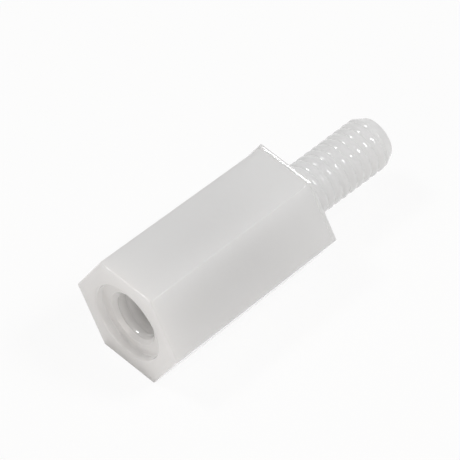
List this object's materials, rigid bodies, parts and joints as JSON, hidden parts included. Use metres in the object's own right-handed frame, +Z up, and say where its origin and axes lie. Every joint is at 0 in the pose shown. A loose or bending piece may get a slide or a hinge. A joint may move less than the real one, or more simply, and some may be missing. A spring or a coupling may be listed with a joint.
{
  "type": "hex standoff",
  "caption": "Male-female hex standoff moulded in natural nylon, with an M3 threaded hole in a shallow recess at one end and an M3 threaded stud at the other, for spacing boards.",
  "frame": {"origin": "on the axis of the standoff, in the plane of the shoulder at the root of the stud", "axes": "+X along the axis from the female end to the tip of the stud, +Z up with the part lying on a flat of the hexagon"},
  "size_m": [0.0168, 0.0068, 0.006],
  "materials": {
    "natural_nylon": "satin, milky and translucent"
  },
  "bodies": {
    "root": {"hex_standoff": "natural_nylon"}
  },
  "joints": []
}
